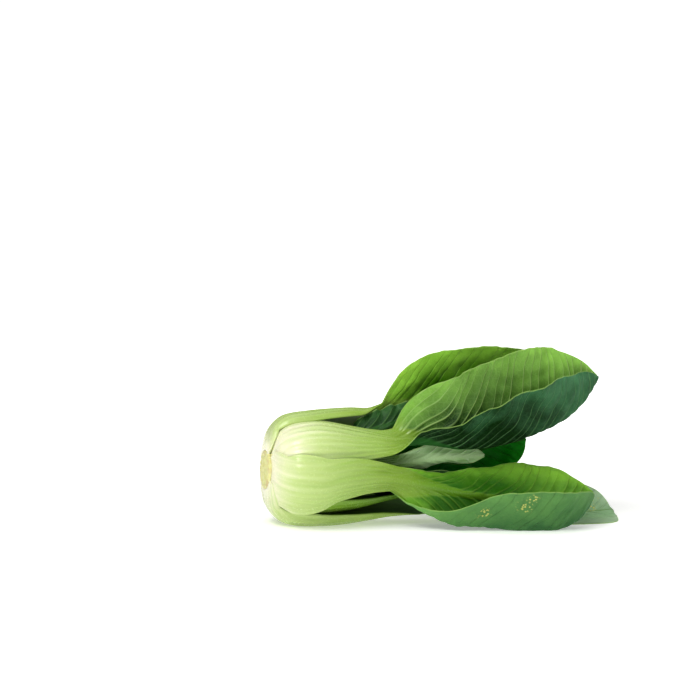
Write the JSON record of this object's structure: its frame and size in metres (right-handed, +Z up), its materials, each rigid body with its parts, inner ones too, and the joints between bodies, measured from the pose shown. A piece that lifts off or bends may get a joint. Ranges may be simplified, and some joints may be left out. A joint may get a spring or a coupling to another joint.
{
  "type": "bok choy",
  "caption": "Whole head of bok choy lying on its side: thick pale stalks round a cut stem, widening into veined green leaf blades.",
  "frame": {"origin": "under the middle of the head's box, on the surface that it lies on", "axes": "+X from the cut stem to the leaf tips, +Z up, +Y to the back; the pictured side faces -Y"},
  "size_m": [0.2104, 0.0868, 0.0994],
  "materials": {
    "leaf_01": "pale green satin stalk widening into a darker green veined blade",
    "leaf_02": "pale green satin stalk widening into a darker green veined blade",
    "leaf_03": "pale green satin stalk widening into a darker green veined blade",
    "leaf_04": "pale green satin stalk widening into a darker green veined blade",
    "leaf_05": "pale green satin stalk widening into a darker green veined blade",
    "leaf_06": "pale green satin stalk widening into a darker green veined blade",
    "leaf_07": "pale green satin stalk widening into a darker green veined blade",
    "leaf_08": "pale green satin stalk widening into a darker green veined blade",
    "leaf_09": "pale green satin stalk widening into a darker green veined blade",
    "leaf_10": "pale green satin stalk widening into a darker green veined blade",
    "leaf_11": "pale green satin stalk widening into a darker green veined blade",
    "leaf_12": "pale green satin stalk widening into a darker green veined blade",
    "leaf_13": "pale green satin stalk widening into a darker green veined blade",
    "leaf_14": "pale green satin stalk widening into a darker green veined blade",
    "stem_base": "pale pinkish-cream cut stem, dry and slightly rough"
  },
  "bodies": {
    "root": {"leaf_01": "leaf_01", "leaf_02": "leaf_02", "leaf_03": "leaf_03", "leaf_04": "leaf_04", "leaf_05": "leaf_05", "leaf_06": "leaf_06", "leaf_07": "leaf_07", "leaf_08": "leaf_08", "leaf_09": "leaf_09", "leaf_10": "leaf_10", "leaf_11": "leaf_11", "leaf_12": "leaf_12", "leaf_13": "leaf_13", "leaf_14": "leaf_14", "stem_base": "stem_base"}
  },
  "joints": []
}
